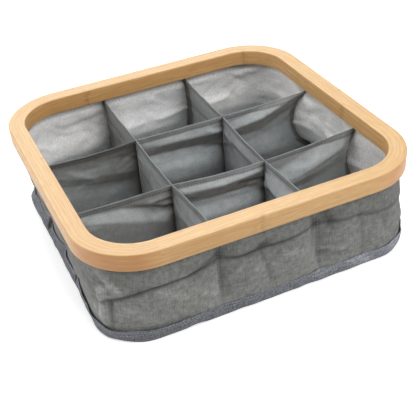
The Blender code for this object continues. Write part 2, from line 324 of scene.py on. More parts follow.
def makeBamboo(name, strip, knuckle, marked):
    material, tree, shader = newMaterial(name, bamboo["roughness"], Coat_Weight=0.1, Coat_Roughness=0.3)
    run, place = runVector(tree), objectVector(tree)
    out = useGroup(tree, bambooGroup, {"Run": run, "Object": place, "Strip": strip, "Knuckle": knuckle})
    colour = blendColour(tree, out["Tone"], bamboo["pale"], bamboo["deep"])
    colour = blendColour(tree, times(tree, out["Streak"], bamboo["streaks"]), colour, bamboo["streak"])
    colour = blendColour(tree, times(tree, out["Fibre"], bamboo["fibres"]), colour, bamboo["streak"])
    colour = blendColour(tree, times(tree, out["Band"], marked), colour, bamboo["knuckle"])
    # The skin of the outer strip is browner round the corners
    axes, depth = axesOf(tree, place), axesOf(tree, run)[1]
    cornerBrown = spread(tree, depth, 0.0002, 0.0006, bamboo["cornerBrowning"], 0.0)
    for axis, half in zip(axes, (halfX, halfY)):
        bendFrom = half - rim["corner"]
        bent = spread(tree, calc(tree, "ABSOLUTE", axis), bendFrom, bendFrom + bamboo["bend"])
        cornerBrown = times(tree, cornerBrown, bent)
    colour = blendColour(tree, cornerBrown, colour, bamboo["cornerBrown"])
    # On top the cut edges of the strips are paler, with brown glue between them
    top = spread(tree, axes[2], rimTop - 0.0011, rimTop - 0.0002)
    colour = blendColour(tree, times(tree, top, bamboo["cutEdge"]), colour, bamboo["edge"])
    strips = calc(tree, "DIVIDE", depth, plyPitch)
    offLine = calc(tree, "ABSOLUTE", calc(tree, "SUBTRACT", strips, calc(tree, "ROUND", strips)))
    glued = spread(tree, offLine, 0.02, 0.13, bamboo["glueLine"], 0.0)
    fromOutside = spread(tree, depth, 0.0012, 0.0024)
    fromInside = spread(tree, strips, 4.4, 4.8, 1.0, 0.0)
    colour = blendColour(tree, times(tree, glued, fromOutside, fromInside, top), colour, bamboo["knuckle"])
    tree.links.new(colour, shader.inputs["Base Color"])
    rough = spread(tree, out["Fibre"], 0.0, 1.0, bamboo["roughness"] - 0.06, bamboo["roughness"] + 0.12)
    tree.links.new(rough, shader.inputs["Roughness"])
    addBump(tree, shader, calc(tree, "ADD", out["Fibre"], times(tree, out["Band"], -0.8)), 0.00014, 0.7)
    return material


# The bag's net of cloth, in metres
bag = {
    "corner": 0.0615, "bendRow": 0.040, "footRow": 0.0733, "hemLine": 0.0765, "lowRows": 10, "highRows": 17,
    "hemRows": (0.0733, 0.0760, 0.0767, 0.0791, 0.0816), "grooveRows": (0.0832, 0.0852, 0.0895),
    "panelSteps": 32, "endSteps": 16, "cornerSteps": 24, "hemInset": 0.0074, "footInset": 0.0050,
}


# A hem is darker at its seam, partly its own stitched seam and partly painted shade under the hem's edge, and
# rolled and pressed, which leaves lines along it
def shadeHem(tree, run, tint, toned, hemColour):
    height, line = axesOf(tree, run)[1], bag["hemLine"]
    offSeam = calc(tree, "ABSOLUTE", calc(tree, "SUBTRACT", height, line - 0.0003))
    inHem = spread(tree, height, line - 0.0004, line + 0.0004)
    pressed = spread(tree, stretchedNoise(tree, run, (22.0, 900.0, 900.0)), 0.38, 0.62)
    seam = spread(tree, offSeam, 0.0003, 0.0014, 0.42, 1.0)
    folded = spread(tree, inHem, 0.0, 1.0, 1.0, 0.8)
    lines = spread(tree, times(tree, pressed, inHem), 0.0, 1.0, 1.0, 0.76)
    tint = blendColour(tree, times(tree, inHem, 0.5), tint, hemColour)
    return tint, times(tree, toned, seam, folded, lines)


# Woven cloth: pale and deep are its yarns, raised and sunk. A point attribute can paint light and shade on
# its folds.
def makeCloth(name, look, shaded=""):
    rough = look["roughness"]
    material, tree, shader = newMaterial(name, rough, Sheen_Weight=look["sheen"], Sheen_Roughness=0.5)
    run = runVector(tree)
    out = useGroup(tree, weaveGroup, {"Cloth": run, "Yarn": look["yarn"], "Patch": look["patch"]})
    tint = blendColour(tree, out["Height"], look["deep"], look["pale"])
    tint = blendColour(tree, times(tree, out["Slub"], look["slubs"]), tint, look["slub"])
    toned = spread(tree, out["Mottle"], 0.0, 1.0, *look["mottle"])
    if shaded:
        toned = times(tree, toned, put(tree, "ShaderNodeAttribute", attribute_name=shaded).outputs["Fac"])
    if "hem" in look:
        tint, toned = shadeHem(tree, run, tint, toned, look["hem"])
    # Where painted shade and mottle make it dark, it is a little warmer, by the power of each colour
    dark, warmth = calc(tree, "MINIMUM", toned, 1.0), look.get("warmth", 0.0)
    tones = [times(tree, toned, calc(tree, "POWER", dark, power)) for power in (-warmth, 0.0, warmth)]
    shade = put(tree, "ShaderNodeCombineXYZ", dict(enumerate(tones))).outputs[0]
    tree.links.new(blendColour(tree, 1.0, tint, shade, "MULTIPLY"), shader.inputs["Base Color"])
    roughness = spread(tree, out["Slub"], 0.0, 1.0, rough - 0.06, rough + 0.06)
    tree.links.new(roughness, shader.inputs["Roughness"])
    height = calc(tree, "ADD", out["Height"], times(tree, out["Slub"], 1.4))
    addBump(tree, shader, height, look["relief"], 0.9)
    return material


cloths = {
    "wall": {
        "pale": (138, 139, 134), "deep": (80, 81, 77), "slub": (188, 189, 185),
        "slubs": 0.62, "mottle": (0.74, 1.18), "patch": 200.0, "yarn": 0.0008, "roughness": 0.9,
        "relief": 0.0002, "sheen": 0.12,
    },
    "inner": {
        "pale": (255, 255, 255), "deep": (240, 240, 239), "slub": (200, 200, 198),
        "slubs": 0.55, "mottle": (0.88, 1.1), "patch": 420.0, "yarn": 0.0007, "roughness": 0.55,
        "relief": 0.00018, "sheen": 0.1,
    },
    "divider": {
        "pale": (150, 155, 156), "deep": (108, 113, 115), "slub": (180, 185, 186),
        "slubs": 0.5, "mottle": (0.87, 1.07), "patch": 130.0, "yarn": 0.0004, "roughness": 0.44,
        "relief": 0.00005, "sheen": 0.2, "hem": (132, 145, 153), "warmth": 0.13,
    },
    "lining": {
        "pale": (150, 154, 157), "deep": (112, 116, 119), "slub": (160, 164, 167),
        "slubs": 0.4, "mottle": (0.9, 1.05), "patch": 80.0, "yarn": 0.0005, "roughness": 0.7,
        "relief": 0.00006, "sheen": 0.1,
    },
    "tape": {
        "pale": (106, 109, 118), "deep": (42, 45, 53), "slub": (186, 188, 194),
        "slubs": 0.45, "mottle": (0.5, 1.35), "patch": 420.0, "yarn": 0.0013, "roughness": 0.85,
        "relief": 0.0004, "sheen": 0.15,
    },
}
wallCloth = makeCloth("wallCloth", cloths["wall"], "shade")
innerCloth = makeCloth("innerCloth", cloths["inner"], "within")
dividerCloth = makeCloth("dividerCloth", cloths["divider"], "shade")
panelCloth = makeCloth("panelCloth", cloths["wall"])
liningCloth = makeCloth("liningCloth", cloths["lining"])
tapeCloth = makeCloth("tapeCloth", cloths["tape"], "shade")


# Speckled board, moulded strip and twisted thread, on Object coordinates
def makePlain(name, pale, deep, roughness, scale, relief):
    material, tree, shader = newMaterial(name, roughness)
    tone = spread(tree, stretchedNoise(tree, objectVector(tree), (scale, scale, scale), 5.0), 0.3, 0.7)
    tree.links.new(blendColour(tree, tone, deep, pale), shader.inputs["Base Color"])
    rough = spread(tree, tone, 0.0, 1.0, roughness - 0.08, roughness + 0.08)
    tree.links.new(rough, shader.inputs["Roughness"])
    addBump(tree, shader, tone, relief)
    return material


boardFibre = makePlain("boardFibre", (168, 138, 102), (118, 90, 60), 0.8, 900.0, 0.0001)
stripPlastic = makePlain("stripPlastic", (226, 226, 221), (206, 206, 200), 0.38, 140.0, 0.00004)
sewingThread = makePlain("sewingThread", (186, 189, 193), (140, 143, 148), 0.7, 2600.0, 0.00005)
print("materials made")


# The bent rim: five plies, each closed with its own scarf joint
plies = ("rim_ply_outer", "rim_ply_second", "rim_ply_core", "rim_ply_fourth", "rim_ply_inner")


def cornerArc(inset, height, toInset, toHeight, rounding):
    centreInset, centreHeight = inset + toInset * rounding, height + toHeight * rounding
    points = []
    for step in range(rim["roundSteps"] + 1):
        angle = math.pi / 2 * step / rim["roundSteps"]
        across, down = toInset * rounding * math.cos(angle), toHeight * rounding * math.sin(angle)
        points.append((centreInset - across, centreHeight - down))
    return points


def plySection(index):
    outside, inside = index * plyPitch, (index + 1) * plyPitch - rim["glue"]
    bottom = grooveTop if index == 2 else rimLow
    outer = rim["edgeRound"] if index == 0 else rim["innerRound"]
    inner = rim["edgeRound"] if index == len(plies) - 1 else rim["innerRound"]
    lowerOut = cornerArc(outside, bottom, 1, 1, outer)
    lowerIn = cornerArc(inside, bottom, -1, 1, inner)[::-1]
    upperIn = cornerArc(inside, rimTop, -1, -1, inner)
    upperOut = cornerArc(outside, rimTop, 1, -1, outer)[::-1]
    return lowerOut + lowerIn + upperIn + upperOut


# Saws a ply through on the slant, on the side where its joint lies, and closes both ends
def cutScarf(bm, index):
    depth = (index + 0.5) * plyPitch - rim["glue"] / 2
    turn = Matrix.Rotation(-math.pi / 2 * (index % 4), 3, "Z")
    reach = (halfY if index % 2 else halfX) - depth
    centre = turn @ Vector((-reach, rim["scarfOffset"], 0))
    outward = turn @ Vector((-1, 0, 0))
    along = turn @ Vector((0, 1, 0))
    normal = (along + outward * rim["scarfSlope"]).normalized()

    def facesOnSide():
        return [face for face in bm.faces if (face.calc_center_median() - centre).dot(outward) > -plyPitch]

    for shift in (-0.5, 0.5):
        place = centre + normal * rim["sawGap"] * shift
        geom = list({part for face in facesOnSide() for part in (face, *face.edges, *face.verts)})
        bmesh.ops.bisect_plane(bm, geom=geom, plane_co=place, plane_no=normal, dist=0.000001)
    dust = []
    for face in facesOnSide():
        away = face.calc_center_median() - centre
        if abs(away.dot(normal)) < rim["sawGap"] * 0.49 and away.length < 0.05:
            dust.append(face)
    bmesh.ops.delete(bm, geom=dust, context="FACES")
    loose = [edge for edge in bm.edges if edge.is_boundary]
    bmesh.ops.holes_fill(bm, edges=loose, sides=0)


def makeRim():
    runX, runY = halfX - rim["corner"], halfY - rim["corner"]
    for index, name in enumerate(plies):
        bm = sweepRound(plySection(index), rim["corner"], (-runX, runX), (-runY, runY), rim["cornerSteps"])
        cutScarf(bm, index)
        mapRun(bm, rim["corner"])
        skin = makeBamboo(f"bamboo_{name}", *rim["strips"][index])
        ply = newPiece(f"{name}_strip", bm, [skin], "rim", [name])
        ply.data.set_sharp_from_angle(angle=math.radians(50))


makeRim()
print("rim made")


# The bag's cloth: the wall and the dividers are one net, so that they pull on each other. In mm.

# The crease round the wall, by the run from the front's middle, with the left side negative
wallCrease = {
    "run": (
        -600, -500, -400, -338, -299, -260, -247, -204, -165, -137,
        -117, -94, -51, -10, 50, 75, 110, 200, 350, 600,
    ),
    "height": (54, 58, 50, 40, 52, 44, 40, 40, 45, 56, 61, 62, 63, 61, 65, 62, 58, 52, 56, 54),
    "out": (1.5, -2, -1.5, 0.5, 1.0, 3.0, 3.0, 3, 1.8, 3.8, 5.0, 5.2, 5.0, 3.2, 3.8, 2.0, 1.6, 1.8, 1.8, 1.5),
    "low": (2, -4, -4, -2, -1.5, -0.5, 0, 1.5, 2, 2.5, 3, 3, 2.5, 2.5, 2.5, 2.2, 2.5, 2.0, 2.0, 2),
    "sharp": (0.1, 0.1, 0.6, 1, 1, 1, 1, 1, 1, 1, 1, 1, 1, 1, 1, 1, 0.8, 0.2, 0.1, 0.1),
}
# How far the dividers draw the wall in at each seam, and how far it dips midway between them
wallSeams = {
    "run": (-550.4, -347.8, -252.5, -49.8, 49.8, 252.5, 347.8, 550.4),
    "pull": (3.0, 9, 9, 6.5, 6, 12, 21, 1.5),
    "reach": (24, 26, 26, 26, 26, 34, 42, 32),
    "middle": (-600.2, -450, -300.1, -201, -5, 96, 300.1, 450, 600.2),
    "dip": (1, 2, 8.5, 2, 2.6, 1.4, 2, 2, 1),
    "dipReach": 22,
    "sewn": 2.4,
}
# How far the foot of the bag is drawn in, with the notches where its tape is puckered
footDraw = {
    "run": (-560, -500, -440, -398, -340, -300, -270, -240, -210, -170, 0, 560),
    "in": (0, 5.0, 9.0, 8.5, 8.0, 7.4, 6.4, 5.0, 3.4, 1.4, 0, 0),
    "most": 4.0,
    "width": 8.5,
    "notches": (
        (-396, 1.4), (-346, 1.6), (-298, 3.6), (-252, 2.2), (-49, 1.0), (49, 1.4), (96, 0.8), (252, 1.5),
    ),
}
# The back and the right side lean inward in two steps, as they do before they are folded flat
wallLean = {
    "run": (-600, -520, -470, -400, 205, 240, 360, 410, 470, 520, 600),
    "share": (1.0, 0.9, 0.5, 0.0, 0.0, 0.7, 0.8, 0.6, 0.8, 1.0, 1.0),
    "steps": ((82.01, 0), (71, -4.2), (60, -4.8), (55, -5.4), (39, -11), (28, -11.5), (13, 0)),
}
# Small folds in the wall: run and height of both ends, width, and height outward
wallFolds = (
    (-165, 56, -166, 16, 3.4, 5.6), (-158, 44, -157, 20, 3.4, -2.4), (-168, 73, -146, 56, 3.2, 2.4),
    (430, 79, 468, 60, 3.4, 2.4), (452, 75, 492, 66, 3.0, -2.4), (470, 56, 500, 74, 3.4, 2.2),
    (415, 62, 440, 50, 3.6, -2.0), (-478, 40, -430, 60, 3.6, -2.4), (-450, 34, -418, 44, 3.4, 2.0),
    (520, 74, 560, 70, 3.2, -2.0), (300, 76, 334, 60, 3.6, 1.8), (-152, 72, -128, 58, 2.6, -1.1),
    (-51, 71, -49, 18, 2.0, -1.5), (-78, 60, -51, 66, 5.0, -3.2), (-13, 65, -1, 17, 2.2, -1.8),
    (-25, 58, -5, 64, 4.8, -3.0), (41, 78, 50, 17, 2.0, -1.5), (43, 70, 47, 59, 4.0, -3.0),
    (46, 35, 76, 28, 2.0, 1.7), (47, 31, 77, 24.5, 2.0, -1.7), (90, 75, 96, 14, 2.6, -1.2),
    (55, 74, 62, 56, 4.4, -2.2), (117, 67, 122, 38, 2.4, -1.1), (138, 20, 190, 19, 3.0, -2.4),
    (-250, 60, -248, 40, 3.0, 1.6), (330, 44, 430, 48, 3.2, -2.6), (380, 30, 450, 36, 3.4, 2.2),
    (230, 40, 330, 52, 3.4, -2.2), (500, 44, 592, 40, 3.2, -2.6), (-592, 40, -540, 36, 3.2, -2.4),
    (-560, 66, -500, 58, 3.4, 1.8), (252, 70, 253, 20, 2.6, -1.4), (348, 70, 348, 20, 2.6, -1.4),
    (550, 70, 550, 20, 2.6, -1.4), (-550, 70, -550, 20, 2.6, -1.4), (-110, 50, -84, 38, 3.4, 1.0),
    (-86, 55, -60, 44, 3.0, -0.9), (10, 46, 34, 40, 3.0, 0.9),
)
# More small folds by chance: seed, count, start and end of the run, and height
wallScatter = ((11, 60, -600, 590, 1.1), (23, 44, 205, 600, 1.5), (29, 18, -600, -430, 1.5))
# Painted shade on the outside of the wall: how light it is by height, low on the left, and by run
wallShade = {
    "byHeight": ((16, 30, 45, 62, 78), (1.0, 0.95, 0.85, 0.76, 0.74)),
    "lowLeft": ((-230, -200, -110, -70), (0, 1, 1, 0)),
    "byRun": ((-60, -20, 90, 130, 200, 240), (0.97, 0.91, 0.9, 0.76, 0.76, 1)),
}
# Each panel of a divider has its sag, and its fold lines from the top down. A line has its height near the
# low end, midway and near the high end, and then how far it stands toward the front left at these three.
# One height serves all three, and a line without a height is the hem's top.
hemTop = 82.0
dividerFolds = {
    "backLeft": (1.6, (
        (0.5, 2.6, 1.0), (74, 72.5, 73, -1.5, -2.2, -2.8), (69, 67, 65, -1.5, -2.4, -3.6),
        (60, 52, 45, -1.0, 0.8, -0.8), (50, 41, 33, -2.2, -3.0, -4.2), (42, 35, 28, -1.6, -3.0, -4.2),
        (34, 26, 24, 1.0, -1.0, -3.0),
    )),
    "backMiddle": (0.2, (
        (0.4, 0.4, 0.4), (77, 0.8, 1.2, 1.0), (69, 68, 65, 3.8, 5.4, 4.2), (57, 54, 49, -0.8, -2.4, -3.2),
        (51, 50, 45, 0.2, -0.8, -2.0), (45, 43, 40, 3.0, 3.0, 0.8), (38, 37, 34, 6.2, 8.0, 3.8),
        (31, 31, 28, 7.0, 10.0, 5.0), (22, 6.5, 9.6, 4.6),
    )),
    "backRight": (0.5, (
        (0.0, 0.0, 0.0), (71, 79, 81, 0.0, 0.2, 0.1), (63, 69.4, 79.6, 5.5, 9.0, 1.6),
        (50, 52, 62, 1.5, 2.5, -2.4), (42, 43, 48, 1.5, 2.5, -2.6), (32, 33, 34, 5.0, 6.0, 0.0),
        (22, 6.0, 7.0, 0.5),
    )),
    "frontLeft": (0.6, (
        (0.0, 0.5, 0.5), (76, 70.5, 54, -0.4, -1.2, -0.6), (69, 60.5, 45, 3.6, 8.8, 5.6),
        (60, 50, 38, 4.0, 9.4, 4.6), (40, 34, 30, 4.4, 9.0, 3.4),
    )),
    "frontMiddle": (1.6, (
        (0.4, 0.4, 0.4), (76.8, 76.8, 78.4, 0.9, 1.4, 0.8), (70, 70, 72, 5.2, 7.2, 5.0),
        (54, 53, 52, -0.8, -1.4, -2.4), (47, 47, 46, 0.0, 0.2, -1.0), (37, 37, 36, 7.0, 9.2, 4.8),
        (27, 8.5, 10.5, 6.0),
    )),
    "frontRight": (0.5, (
        (0.0, 0.0, 0.0), (60, 75.5, 80.6, 0.0, 0.2, 0.2), (47, 57, 68, 8.0, 12.0, 7.0),
        (42, 51, 62, 8.0, 12.0, 6.6), (34, 40, 48, 4.6, 8.4, 3.4), (20, 5.0, 8.0, 3.0),
    )),
    "leftBack": (1.0, (
        (0.0, 0.4, 0.0), (73, -0.6, -0.8, -0.4), (50, -3.0, -4.6, -2.6), (30, -3.0, -4.6, -3.0),
    )),
    "leftMiddle": (1.0, (
        (0.0, 0.8, 0.0), (73, 0.4, 0.8, 0.2), (52, 50, 52, 2.4, 4.6, 2.4), (45, 43, 45, 1.2, 2.0, 1.2),
        (25, 2.0, 3.0, 2.0),
    )),
    "leftFront": (0.3, (
        (-5.0, -5.0, -1.5), (73, -4.0, -4.0, -1.0), (58, 56, 54, 0.5, 1.6, 1.8),
        (50, 48, 47, -0.4, 0.4, 0.6), (26, 1.0, 2.0, 1.0),
    )),
    "rightBack": (1.0, (
        (0.0, 0.4, 0.0), (73, -0.4, -0.6, -0.4), (56, 54, 52, -1.6, -2.6, -2.0),
        (50, 48, 46, -3.0, -4.4, -3.0), (28, -2.0, -3.0, -2.4),
    )),
    "rightMiddle": (1.0, (
        (0.0, 0.8, 0.0), (74, 0.2, 0.3, 0.2), (63, 63, 62, 1.8, 2.8, 2.0), (56, 56, 53, 0.0, 0.2, -0.8),
        (48, 48, 46, 0.0, 0.6, -0.4), (28, 2.4, 4.0, 2.0),
    )),
    "rightFront": (1.0, (
        (-0.4, -2.0, -0.8), (73, 0.0, -0.8, 0.0), (57, 56, 56, 4.6, 7.5, 6.5), (47, 46, 46, 1.0, 2.0, 1.2),
        (28, 2.4, 4.0, 2.6),
    )),
}
# Painted shade on some panels, as in the shade of the rim: how light low down and high up
paintedPanelShade = {
    "backLeft": (0.8, 0.62), "leftBack": (0.97, 0.97), "frontMiddle": (0.93, 0.92), "frontLeft": (0.78, 0.92),
    "backMiddle": (0.95, 0.92), "frontRight": (0.95, 0.94), "backRight": (0.93, 0.97),
}
# Seam binding where a divider is sewn to the wall: how wide, and how dark with painted shade
bindingsAndShade = {
    "rightBack": (13.0, 0.28), "leftBack": (8.0, 0.8), "backRight": (7.0, 0.42), "frontRight": (5.0, 0.42),
    "leftFront": (5.0, 0.6), "rightFront": (5.0, 0.6), "backLeft": (5.0, 0.6), "frontLeft": (5.0, 0.6),
}
# Small folds in the dividers, as in the wall
puckers = {
    "frontLeft": (
        (-77, 69, -51, 69.5, 2.0, 1.8), (-70, 65.5, -51, 65, 1.7, -1.8), (-67, 61.5, -51, 61, 1.8, 1.7),
        (-93, 68, -71, 60, 3.2, -2.6), (-72, 60, -51, 56, 2.8, -3.2), (-74, 54, -52, 50, 2.6, 1.6),
    ),
    "backMiddle": ((29, 70, 48, 65, 2.0, 1.4), (26, 47, 48, 45, 2.0, -1.8), (31, 52, 49, 49, 2.0, 1.5)),
    "frontMiddle": (
        (18, 65, 49, 59, 2.2, -2.2), (29, 57, 49, 51, 2.0, 1.8), (33, 51, 49, 43, 2.2, -1.8),
        (8, 50, 46, 47, 2.4, 1.4), (-49, 66, -30, 60, 2.0, -1.2),
    ),
    "rightMiddle": ((26, 58, 47, 51, 2.6, 1.8), (24, 52, 46, 46, 2.2, -1.4)),
    "backLeft": (
        (-131, 64, -104, 49, 2.6, 1.8), (-126, 41, -97, 48, 2.4, 1.4), (-74, 66, -52, 60, 2.2, -1.4),
    ),
    "backRight": ((52, 66, 74, 52, 2.4, -1.4), (110, 60, 146, 66, 2.2, -1.2)),
    "frontRight": ((78, 58, 120, 66, 3.0, 1.2), (96, 52, 146, 63, 2.6, -1.2), (52, 60, 66, 48, 2.2, -1.4)),
}
# How far the crossings sag, by the sides in X and Y that they lie on
crossingSag = {(-1, -1): 1.6, (-1, 1): 1.4, (1, 1): 2.6, (1, -1): 7.0}


# Limits numbers to between 0 and 1
def unit(value):
    return np.clip(value, 0, 1)


def bell(distance, width):
    return np.exp(-((distance / width) ** 2))


def clothRows():
    low = np.linspace(dividerFoot, bag["bendRow"], bag["lowRows"], endpoint=False)
    high = np.linspace(bag["bendRow"], bag["footRow"], bag["highRows"], endpoint=False)
    return [*low, *high, *bag["hemRows"]]


# Stations from -1 to 1, closer together at both ends
def crowded(steps):
    even = np.linspace(-1, 1, steps + 1)
    return (even + np.sin(even * math.pi / 2)) / 2


def stationsAlong(seam, run):
    side = np.linspace(seam, run, bag["endSteps"] + 1)[1:]
    return np.concatenate([-side[::-1], np.linspace(-seam, seam, bag["panelSteps"] + 1), side])


def wallInset(height):
    return float(np.interp(height, [tapeTop, rimLow], [bag["footInset"], bag["hemInset"]]))


# A divider as a grid on edge, with its columns where it meets the wall and the other dividers
def addDivider(bm, tag, number, alongX, at, rows):
    half, seam = (halfX, seamX) if alongX else (halfY, seamY)
    columns = 4 * bag["endSteps"] + bag["panelSteps"]
    middle = crowded(bag["panelSteps"]) * seam
    side = (crowded(2 * bag["endSteps"])[1:] + 1) / 2
    grid = bmesh.ops.create_grid(bm, x_segments=columns, y_segments=len(rows) - 1, size=0.5)["verts"]
    for vert in grid:
        column = round((vert.co.x + 0.5) * columns)
        height = rows[round((vert.co.y + 0.5) * (len(rows) - 1))]
        fromEnd = min(column, columns - column)
        if fromEnd >= len(side):
            along = middle[column - len(side)]
        else:
            reach = seam + side[len(side) - 1 - fromEnd] * (half - wallInset(height) - seam)
            along = math.copysign(reach, column - columns / 2)
        vert.co = (along, at, height) if alongX else (at, along, height)
    for face in {face for vert in grid for face in vert.link_faces}:
        face[tag] = number


def makeNet():
    rows = clothRows()
    runX, runY = halfX - bag["corner"], halfY - bag["corner"]
    section = [(wallInset(height), height) for height in (*rows, *bag["grooveRows"])]
    stations = stationsAlong(seamX, runX), stationsAlong(seamY, runY)
    bm = sweepRound(section, bag["corner"], *stations, bag["cornerSteps"], closed=False)
    mapRun(bm, bag["corner"], useHeight=True)
    tag = bm.faces.layers.int.new("part")
    places = (False, -seamX), (False, seamX), (True, seamY), (True, -seamY)
    for number, (alongX, at) in enumerate(places, 1):
        addDivider(bm, tag, number, alongX, at, rows)
    layer = bm.loops.layers.uv["run"]
    for face in bm.faces:
        if face[tag]:
            for loop in face.loops:
                x, y, z = loop.vert.co
                loop[layer].uv = (x if face[tag] > 2 else y, z)
    bmesh.ops.remove_doubles(bm, verts=bm.verts, dist=0.00002)
    onWall = np.array([any(face[tag] == 0 for face in vert.link_faces) for vert in bm.verts])
    return addToScene("bagNet", meshFrom(bm, "bagNet")), onWall


# Straight lines between knots, each knot a height and a value that may differ from point to point
def throughKnots(height, knots):
    result = np.zeros_like(height)
    for (high, above), (low, below) in zip(knots, knots[1:]):
        inside = (height <= high) & (height > low)
        share = unit((high - height) / np.maximum(high - low, 0.001))
        result = np.where(inside, above + (below - above) * share, result)
    return result


# A soft ridge or groove from one point of a panel to another
def foldAt(along, height, fold):
    fromRun, fromHeight, toRun, toHeight, width, size = fold
    length = math.hypot(toRun - fromRun, toHeight - fromHeight)
    ahead = ((toRun - fromRun) / length, (toHeight - fromHeight) / length)
    run = (along - fromRun) * ahead[0] + (height - fromHeight) * ahead[1]
    aside = (height - fromHeight) * ahead[0] - (along - fromRun) * ahead[1]
    taper = 0.35 * width * (1 - np.sin(np.pi * unit(run / length)))
    past = np.maximum(np.maximum(-run, run - length), 0) + taper
    return size * np.exp(-((aside / width) ** 2) - (past / width) ** 2)


def scattered(seed, count, low, high, heights, length, slope, size):
    dice = np.random.default_rng(seed)
    folds = []
    for number in range(count):
        run, height = dice.uniform(low, high), dice.uniform(*heights)
        reach, lean = dice.uniform(*length), dice.uniform(-slope, slope)
        strength = dice.uniform(0.4, 1.0) * size * (1 if number % 2 else -1)
        folds.append((run, height, run + reach, height + reach * lean, dice.uniform(1.8, 3.4), strength))
    return folds


# A few folds that fan out from the seam at the end of a panel
def fannedFolds(seed, place, heading):
    dice = np.random.default_rng(seed)
    folds = []
    for count in range(4):
        base, reach = 70 - 5.2 * count + dice.uniform(-1, 1), dice.uniform(12, 24)
        size = dice.uniform(0.5, 1.1) * (1 if count % 2 else -1)
        drop = reach * dice.uniform(-0.6, 0.1)
        folds.append((place, base, place + heading * reach, base + drop, 2.1, size))
    return folds


# How far in, in mm, at a run from the front's middle and a height. Low down the board inside stops it.
def drawnIn(run, height):
    notch = sum(size * bell(run - place, footDraw["width"]) for place, size in footDraw["notches"])
    wanted = np.interp(run, footDraw["run"], footDraw["in"]) + notch * np.minimum(height / 12.8, 1)
    return np.minimum(wanted, footDraw["most"] + 1.2 * np.maximum(height - 4.5, 0))


# The run in mm from the front's middle, negative toward the left
def runFromFront(x, y):
    around = lengthRound(bag["corner"]) * 1000
    run = (placeRound(x, y, bag["corner"])[0] - halfX + bag["corner"]) * 1000
    return (run + around / 2) % around - around / 2


def shapeWall(home, moved, onWall, coarse, fine):
    points, coarse, fine = home[onWall], coarse[onWall], fine[onWall]
    run = np.array([runFromFront(x, y) for x, y, z in points])
    z = points[:, 2] * 1000
    share = unit((z / 1000 - tapeTop) / (rimLow - tapeTop))
    crease = np.interp(run, wallCrease["run"], wallCrease["height"]) + 3.0 * coarse
    out, low, sharp = (np.interp(run, wallCrease["run"], wallCrease[key]) for key in ("out", "low", "sharp"))
    bowed = throughKnots(z, (
        (rimLow * 1000 + 0.01, 0 * out), (78.5, out * 0.3), (crease, out),
        (crease - 3 - 9 * (1 - sharp), out * (1 - 0.85 * sharp) - 1.5 * sharp),
        (crease * 0.55, low), (18, low * 0.35), (tapeTop * 1000, 0 * out),
    ))
    pulled, near = np.zeros_like(run), np.zeros_like(run)
    for place, pull, reach in zip(wallSeams["run"], wallSeams["pull"], wallSeams["reach"]):
        close = unit(1 - np.abs(run - place) / reach) ** 1.5
        pulled += pull * close
        near = np.maximum(near, close)
    for place, dip in zip(wallSeams["middle"], wallSeams["dip"]):
        pulled += dip * unit(1 - np.abs(run - place) / wallSeams["dipReach"]) ** 1.3
    small = sum(foldAt(run, z, fold) for fold in wallFolds)
    for seed, count, start, end, size in wallScatter:
        folds = scattered(seed, count, start, end, (22, 76), (12, 38), 0.9, size)
        small = small + sum(foldAt(run, z, fold) for fold in folds)
    lean = np.interp(run, wallLean["run"], wallLean["share"]) * throughKnots(z, wallLean["steps"])
    loose = (small + 1.5 * coarse + 0.8 * fine - pulled) * np.sin(np.pi * share) ** 0.6
    outward = (bowed + lean) * (1 - near) + loose
    # Outward is square to the side, or from the corner's middle on a corner
    cornerX, cornerY = halfX - bag["corner"], halfY - bag["corner"]
    beyond = np.maximum(np.abs(points[:, :2]) - (cornerX, cornerY), 0)
    heading = beyond / np.maximum(np.linalg.norm(beyond, axis=1, keepdims=True), 0.0001)
    onCorner = np.minimum(beyond[:, 0], beyond[:, 1]) > 0
    turn = np.where(onCorner, np.sin(2 * np.arctan2(heading[:, 1], heading[:, 0])) ** 2, 0)
    backLeft = (points[:, 0] < 0) & (points[:, 1] > 0)
    outward = outward + np.where(backLeft, 0.0, 3.0) * (1 - share) * turn
    outward = outward - drawnIn(run, z) * unit(1 - share * 1.8)
    moved[onWall, :2] += np.sign(points[:, :2]) * heading * outward[:, None] / 1000
    # Painted shade and light on the outside: darker under the rim, low on the left, under the crease and in
    # the dents, lighter on the ridges
    outer = np.interp(z, *wallShade["byHeight"])
    outer = outer * (1 - 0.45 * unit((19 - z) / 5) * np.interp(run, *wallShade["lowLeft"]))
    under = 0.85 * bell(z - crease + 1.0 + 0.5 * out, 2.6) * unit(out / 3.2) * (1 - 0.5 * near)
    outer = outer * np.interp(run, *wallShade["byRun"])
    outer = outer * (1 - under) * (1 + 0.2 * np.clip(small, -3.2, 0) + 0.34 * np.clip(small, 0, 1.4))
    # Painted light and shade on the inside: mottled, darker in the folds and about the crease, and darker
    # close under the rim
    inner = 1 + 0.14 * fine + 0.16 * coarse - 0.06 * np.clip(small, -2, 2)
    inner = inner - 0.14 * bell(z - 62, 5) * unit(1.5 * coarse + 0.8)
    inner = np.clip(inner, 0.6, 1.05) * (1 - 0.3 * unit((z - 73.5) / 3) - 0.3 * unit((z - 79) / 2))
    # The seam lines are darker: partly the dark stitched seam, partly painted shade
    sewn = sum(bell(run - place, wallSeams["sewn"]) for place in wallSeams["run"])
    inner = inner * (1 - 0.8 * sewn * np.clip((z - 60) / 14, 0.35, 1))
    outer = outer * (1 - 0.32 * sewn * unit((z - 13) / 6))
    return 1 + (outer - 1) * unit(0.65 + sharp), inner


# How far a seam draws the wall in, where a divider ends on it
def pullAt(axis, sign, end, z):
    x, y = (sign * seamX, end * halfY) if axis == 0 else (end * halfX, sign * seamY)
    nearest = np.argmin(np.abs(np.subtract(wallSeams["run"], runFromFront(x, y))))
    share = unit((z - tapeTop) / (rimLow - tapeTop))
    return wallSeams["pull"][nearest] / 1000 * np.sin(np.pi * share) ** 0.6


def isOnWall(place):
    return abs(place) > 2 * seamX


def sagAt(axis, sign, place):
    if isOnWall(place):
        return 1.0
    across = 1 if place > 0 else -1
    return crossingSag[(sign, across) if axis == 0 else (across, sign)]


